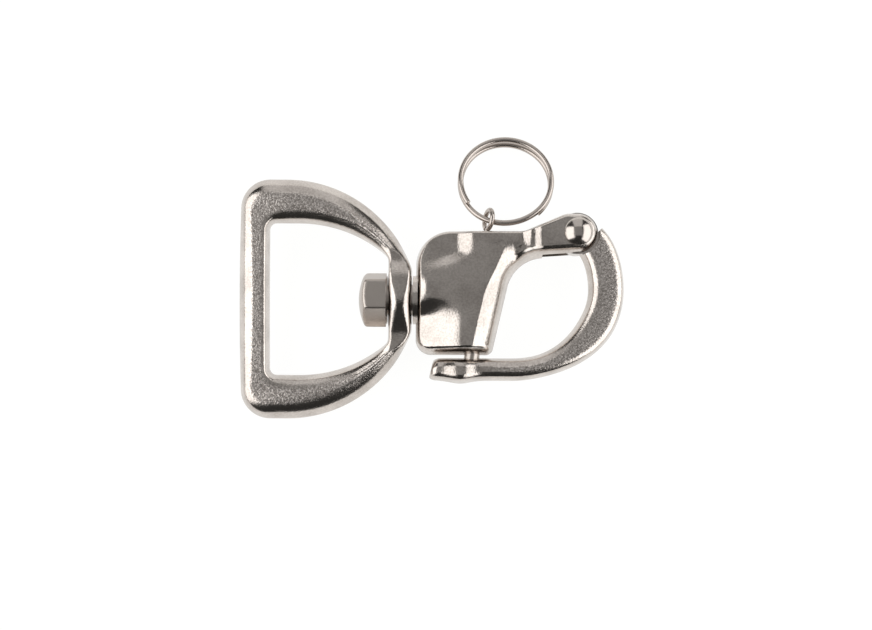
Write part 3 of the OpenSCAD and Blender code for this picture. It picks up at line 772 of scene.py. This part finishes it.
def body_half_d(x, y):
    """Half depth of the body. A level ridge covers the plunger. To its left the face falls
    to a low edge, or to a high one over the bolt. To its right a chamfer follows the flank,
    and two facets step down to the ears."""
    run = mix(*fall_run, ease(*fall_turn, y))
    soft = mix(*fall_soft, ease(*soft_turn, y)) - top_soft * ease(*top_turn, y)
    fall = soft_ramp((mix(*ridge_x, ease(*ridge_turn, y)) - x) / run, 0, 1, soft)
    left_h = (mix(heel_h, neck_h, ease(*neck_turn, y))
              - (neck_h - shoulder_h) * ease(*shoulder_turn, y))
    beside = ((toe_at[0] - x) * flank[1] - (toe_at[1] - y) * flank[0]
              + chamfer_bend * ease(*bend_turn, y))
    chamfer = (chamfer_slope * soft_ramp(-beside, *chamfer_run, chamfer_soft)
               * (1 - ease(*chamfer_end_y, y)) * (1 - ease(*chamfer_end_x, x)))
    nose = nose_slope * soft_max(nose_x - x, 0, nose_soft) * bell(y - nose_y, nose_w)
    step = sum(slope * soft_ramp(x, start, end, step_soft)
               for start, end, slope in step_facets)
    return mix(ridge_h, left_h, fall) - chamfer - nose - step


# The edge rises over its width through these points: how far in, and the share of the
# half depth. The rings then close on a point near the middle, right of the plunger.
EDGE_W = 3.4
EDGE_ROWS = 18
EDGE_IN = (0, 1.2, 2.05, 3.0)
EDGE_UP = (0, 0.72, 0.92, 1.0)
EDGE_PASSES = 2
MIDDLE_RIGHT = 1.3
MIDDLE_DOWN = 4.8
MIDDLE_ROWS = 60
MIDDLE_REACH = 0.985

edge_in = np.linspace(0, EDGE_W, EDGE_ROWS)
edge_up = soften(np.interp(edge_in, EDGE_IN, EDGE_UP), EDGE_PASSES, closed=False)
body_mid = np.array([plunger_x + MIDDLE_RIGHT, housing_up - MIDDLE_DOWN])
rim_0 = outline(body_corners, 0)
before, after = np.roll(body_corners[:, 3], 1)[:, None], body_corners[:, 3][:, None]
edge_share = np.hstack([mix(before, after, share(ARC_STEPS).T),
                        np.repeat(after, RUN_STEPS, 1)]).reshape(-1, 1)
rim = [rim_0 + edge_share * (outline(body_corners, d) - rim_0) for d in edge_in]
rim += [mix(rim[-1], body_mid, t) for t in np.linspace(0, MIDDLE_REACH, MIDDLE_ROWS)[1:]]
rim = np.array(rim)
rise = np.concatenate([edge_up, np.ones(len(rim) - len(edge_up))])[:, None]
height = rise * body_half_d(rim[..., 0], rim[..., 1])
upper = np.dstack([rim, height])
lower = upper[1:] * [1, 1, -1]
body = skin("body", place(np.vstack([upper[::-1], lower])), cast_steel, crease=BODY_CREASE)


def along_plunger(name, radius, start, end):
    """A cylinder on the plunger's axis, from one distance along it to another."""
    return turned(name, [(radius, start), (radius, end)], foot, lean, cast_steel)


def along_rivet(name, radius, reach):
    """A cylinder on the hinge's axis, that reaches as far above the middle as below."""
    return turned(name, [(radius, -reach), (radius, reach)], (hinge_x, hinge_y, 0),
                  (0, 0, 1), cast_steel)


def block(name, low, high):
    """A square-cornered block between two corners."""
    (x0, y0, z0), (x1, y1, z1) = low, high
    ends = np.array([[(x, y0, z0), (x, y1, z0), (x, y1, z1), (x, y0, z1)] for x in (x0, x1)])
    return skin(name, place(ends), cast_steel)


neck = turned("neck", [(neck_d / 2, side_play), (neck_d / 2, swivel_gap + neck_root)],
              (0, 0, 0), (1, 0, 0), cast_steel)
carve(body, neck, "UNION", BODY_CREASE)
tapped = turned("tapped", [(bolt_d / 2, -past), (bolt_d / 2, bolt_hold + tap_end)],
                (0, 0, 0), (1, 0, 0), cast_steel)
barrel_hole = along_plunger("barrel", plunger_d / 2 + run_fit, -2 * past, cap_s)
cap_hole = along_plunger("cap_hole", stem_d / 2 + run_fit, cap_s - past,
                         housing_top_s + 2 * past)
fork = block("fork", (hinge_x - ear_r - fork_root, hinge_y - fork_reach, -fork_w / 2),
             (hinge_x + ear_r + past, hinge_y + fork_reach, fork_w / 2))
ear_holes = along_rivet("ear_holes", rivet_d / 2, ear_reach)
for tool in (tapped, barrel_hole, cap_hole, fork, ear_holes):
    carve(body, tool, "DIFFERENCE", BODY_CREASE)
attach(body, "shackle")
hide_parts("shackle_body")


# ---- Jaw ----------------------------------------------------------------------------
# The gate of the snap: a curved casting with a tongue between the ears at one end and a
# hole for the plunger at the other. Its broad faces are blasted like the bail's.
jaw_reach = 54.95
jaw_w = 9.5
jaw_tip_w = 6.1
jaw_d = 8.4
jaw_gap = 0.6
jaw_end_x = 5.0
jaw_belly_y = 3.0
jaw_straight_x = 25.6
jaw_outer_edge = (0.9, 1.3, 0.75)
jaw_inner_edge = (0.9, 1.6, 0.85)
jaw_end_bevel = 1.8
jaw_end_drop = 1.5
jaw_end_slant = math.radians(13)
jaw_slant_run = 6.0
jaw_start = 63.0
jaw_narrowing = (0.25, 0.85)
jaw_crowning = 0.05
jaw_blast_x = (18, 24)
boss_x = 12.4
boss_w = 3.6
boss_out = 0.8
boss_up = 1.4
latch_depth = 3.4
latch_floor = 0.6
latch_fit = 0.1
tongue_inset = 0.2

# Points along the jaw's upper curve, its lower curve, its straight and its tip.
near_n, far_n, run_n, tip_n = 60, 150, 60, 14
JAW_STEPS = (8, 5, 5, 16, 5, 5, 8)

jaw_y = -housing_down - jaw_gap - jaw_tip_w / 2
jaw_far_x = jaw_reach - jaw_w / 2
tip_s = -(jaw_gap + latch_depth)


def ellipse(centre_x, rise, angle):
    """Middle line and direction of travel along a quarter of an ellipse that reaches
    jaw_far_x, as its angle falls: (cx + run cos a, belly + rise sin a)."""
    run = jaw_far_x - centre_x
    line = np.column_stack([centre_x + run * np.cos(angle), jaw_belly_y + rise * np.sin(angle)])
    return line, np.column_stack([run * np.sin(angle), -rise * np.cos(angle)])


near, near_way = ellipse(hinge_x, hinge_y - jaw_belly_y,
                         np.radians(np.linspace(jaw_start, 1, near_n)))
fall = np.linspace(0, 1, far_n, endpoint=False)
far, far_way = ellipse(jaw_straight_x, jaw_belly_y - jaw_y, -np.pi / 2 * fall)
run = np.linspace(jaw_straight_x, jaw_end_x + jaw_end_bevel, run_n)
tip = np.linspace(0.12, 1, tip_n) * np.pi / 2
tip_x = jaw_end_x + jaw_end_bevel * (1 - np.sin(tip))
line = np.vstack([near, far, np.column_stack([run, np.full(run_n, jaw_y)]),
                  np.column_stack([tip_x, np.full(tip_n, jaw_y)])])
slanting = 1 - ease(jaw_end_x, jaw_end_x + jaw_slant_run, np.append(run, tip_x))
slant = jaw_end_slant * slanting
way = np.vstack([near_way, far_way, np.column_stack([-np.cos(slant), np.sin(slant)])])
way /= np.linalg.norm(way, axis=1)[:, None]
width = np.concatenate([
    np.full(near_n, jaw_w), mix(jaw_w, jaw_tip_w, ease(*jaw_narrowing, fall)),
    np.full(run_n, jaw_tip_w), jaw_tip_w - jaw_end_bevel * (1 - np.cos(tip))])
boss = np.where(line[:, 1] < jaw_y + 1, bell(line[:, 0] - boss_x, boss_w), 0)
depth = jaw_d / 2 + boss * boss_up
depth[-tip_n:] -= jaw_end_drop * (1 - np.cos(tip))
out = np.column_stack([way[:, 1], -way[:, 0]])
rings, blast = bar_section(
    line - out * (width / 2 + boss * boss_out)[:, None], line + out * width[:, None] / 2,
    depth, jaw_outer_edge, jaw_inner_edge, jaw_crowning, JAW_STEPS)
blast = blast * ease(*jaw_blast_x, line[:, 0])[:, None]
jaw = skin("jaw", place(rings), cast_steel, marks={"blasted": blast})
tongue_w = fork_w - 2 * side_play
for name, low, high in (("front_cheek", tongue_w / 2, jaw_d),
                        ("back_cheek", -jaw_d, -tongue_w / 2)):
    cheek = turned(name, [(ear_r + side_play, low), (ear_r + side_play, high)],
                   (hinge_x, hinge_y, 0), (0, 0, 1), cast_steel)
    carve(jaw, cheek, "DIFFERENCE")
carve(jaw, along_rivet("tongue", ear_r - tongue_inset, tongue_w / 2), "UNION")
carve(jaw, along_rivet("pivot_hole", rivet_d / 2 + run_fit, jaw_d), "DIFFERENCE")
carve(jaw, along_plunger("latch_hole", plunger_d / 2 + latch_fit, tip_s - latch_floor, past),
      "DIFFERENCE")
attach(jaw, "gate")
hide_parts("jaw")


# ---- Hinge rivet --------------------------------------------------------------------
# A turned rivet through both ears and the tongue, domed over at each end.
rivet_head_d = 7.3
rivet_head_h = 2.2
rivet_edge_h = 0.5

# Rings on the straight edge of the head, by their height over the ear, and on its dome.
rivet_under = (0.35, 0.2, 0)
DOME_ROWS = 24

# Cold headed 316, tumbled until it mirrors, with faint scuffs.
RIVET_TONE = "#BDB5AE"
RIVET_SCUFF = 0.8 * MM
RIVET_ROUGHNESS = (0.14, 0.24)
headed_steel = scuffed_metal("cold_headed_316_tumbled", RIVET_TONE, RIVET_SCUFF, 3.0,
                             RIVET_ROUGHNESS)

cap_h = rivet_head_h - rivet_edge_h
dome_r = ((rivet_head_d / 2) ** 2 + cap_h ** 2) / (2 * cap_h)
phi = np.linspace(0.02, math.asin(rivet_head_d / 2 / dome_r), DOME_ROWS)
dome = np.column_stack([dome_r * np.sin(phi),
                        ear_d / 2 + rivet_head_h - dome_r * (1 - np.cos(phi))])
side = [(rivet_head_d / 2, ear_d / 2 + h) for h in rivet_under] + [(rivet_d / 2, ear_d / 2)]
head = np.vstack([dome, side])
rivet = turned("rivet", np.vstack([head, head[::-1] * [1, -1]]), (hinge_x, hinge_y, 0),
               (0, 0, 1), headed_steel)
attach(rivet, "shackle")
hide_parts("hinge_rivet")


# ---- Plunger ------------------------------------------------------------------------
# A turned pin that slides in the housing and locks the jaw, with a thinner stem that
# comes out at the top and is tapped for the eye.
plunger_l = 18.0
plunger_nose = 0.5
eye_shank_d = 1.2

# Roundings from the nose to the mouth of the bore, and the radius its first ring has.
plunger_rounds = (plunger_nose, 0.1, 0.05, 0.15, 0.05)
plunger_point = 0.05

shoulder_s = tip_s + plunger_l
profile = rounded_path([(plunger_point, tip_s), (plunger_d / 2, tip_s), (plunger_d / 2, shoulder_s),
                        (stem_d / 2, shoulder_s), (stem_d / 2, housing_top_s),
                        (eye_shank_d / 2, housing_top_s), (eye_shank_d / 2, cap_s)],
                       plunger_rounds)
plunger = turned("plunger", profile, foot, lean, turned_steel, steps=72)
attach(plunger, "latch")
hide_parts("plunger")


# Hard drawn 302 spring wire: darker and duller than the rest, with marks from the die.
SPRING_TONE = "#9B9892"
SPRING_MARK = 0.3 * MM
SPRING_ROUGHNESS = (0.25, 0.45)
spring_wire = scuffed_metal("drawn_302_spring_wire", SPRING_TONE, SPRING_MARK, 2.0,
                            SPRING_ROUGHNESS)
spring = frame["nodes"]["plunger_spring"]
spring.data.materials.clear()
spring.data.materials.append(spring_wire)
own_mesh(spring)


# ---- Pull eye -----------------------------------------------------------------------
# Round wire bent into an eye on a straight shank, which is screwed into the stem.
eye_d = 6.4
eye_wire = 1.3
eye_turn = math.radians(20)
eye_from = -90
eye_to = 246
shank_over = 0.2

# Points round the loop and along the shank, and passes that soften the bend between them.
LOOP_POINTS = 150
SHANK_POINTS = 24
EYE_PASSES = 6

# Drawn and polished 316 wire: a smooth surface, with faint scuffs.
WIRE_TONE = "#B3AAA3"
WIRE_SCUFF = 1.5 * MM
WIRE_ROUGHNESS = (0.12, 0.26)
wire_steel = scuffed_metal("drawn_316_wire_polished", WIRE_TONE, WIRE_SCUFF, 3.0,
                           WIRE_ROUGHNESS)

# The bevel on a cut end: its radius as a share of the wire's, and its length as a share
# of the wire.
CUT_RADIUS = 0.86
CUT_LENGTH = 0.07


def wire_along(name, line, across, wire, material, sides=24, crease=40):
    """Round wire carried along a line: point + wire / 2 (cos a side + sin a across), where
    across is square to the line and side is square to both. Each end is bevelled."""
    way = np.gradient(line, axis=0)
    way /= np.linalg.norm(way, axis=1)[:, None]
    side = np.cross(way, across)
    side /= np.linalg.norm(side, axis=1)[:, None]
    across = np.cross(side, way)
    a = np.linspace(0, 2 * np.pi, sides, endpoint=False)[:, None]
    section = np.cos(a) * side[:, None] + np.sin(a) * across[:, None]
    rings = line[:, None] + wire / 2 * section
    ends = [line[k] + CUT_RADIUS * wire / 2 * section[k] + s * CUT_LENGTH * wire * way[k]
            for k, s in ((0, -1), (-1, 1))]
    rings = np.concatenate([ends[:1], rings, ends[1:]])
    return skin(name, place(rings), material, crease=crease)


eye_r = (eye_d - eye_wire) / 2
eye_s = housing_top_s + eye_d / 2
face = np.cross(lean, [0, 0, 1.0])
sweep = np.radians(np.linspace(eye_from, eye_to, LOOP_POINTS))[:, None]
flat_way = math.cos(eye_turn) * np.array([0, 0, 1.0]) + math.sin(eye_turn) * face
eye_at = foot + eye_s * lean
loop = eye_at + eye_r * (np.cos(sweep) * flat_way + np.sin(sweep) * lean)
eye_across = np.cross(flat_way, lean)
shank_s = np.linspace(cap_s + side_play, housing_top_s + shank_over, SHANK_POINTS)
shank = foot + shank_s[:, None] * lean
line = soften(np.vstack([shank, loop]), EYE_PASSES, closed=False)
eye = wire_along("eye", line, eye_across, eye_wire, wire_steel)
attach(eye, "latch")
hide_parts("pull_eye")


# ---- Split ring ---------------------------------------------------------------------
# Nearly two turns of spring-tempered wire, threaded through the eye. The wire crosses
# from the upper turn to the lower one between its two cut ends.
ring_d = 25.3
ring_wire = 1.5
ring_dip = math.radians(16.4)
ring_spring = 1.0
ring_gap = 0.1
ring_lift = 0.35
ring_slack = 0.25
end_a = math.radians(213)
end_b = math.radians(-406)
crank_from = math.radians(-46)
crank_to = math.radians(-147)
eye_angle = math.radians(-113)
RING_POINTS = 420

ring_r = (ring_d - ring_wire) / 2
ring_out = np.array([0, math.cos(ring_dip), -math.sin(ring_dip)])
ring_n = np.array([0, math.sin(ring_dip), math.cos(ring_dip)])


def ring_line(a):
    """Place of the wire's middle at angle a, from the ring's centre: a circle in the
    ring's plane, lifted by half a wire above it or below, and a little more far off."""
    apart = ring_wire / 2 + ring_gap / 2 + ring_spring / 4 * (1 + np.sin(a))
    level = apart * (1 - 2 * ease(-crank_from, -crank_to, -a))
    return (ring_r * (np.cos(a) * np.array([1.0, 0, 0]) + np.sin(a) * ring_out)
            + level * ring_n)


ring_eye = foot + (eye_s - ring_slack) * lean + np.array([0, 0, ring_lift])
a = np.linspace(end_a, end_b, RING_POINTS)[:, None]
line = ring_eye - ring_line(np.array([[eye_angle]])) + ring_line(a)
ring = wire_along("ring", line, ring_n, ring_wire, wire_steel)
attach(ring, "ring")
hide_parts("split_ring")
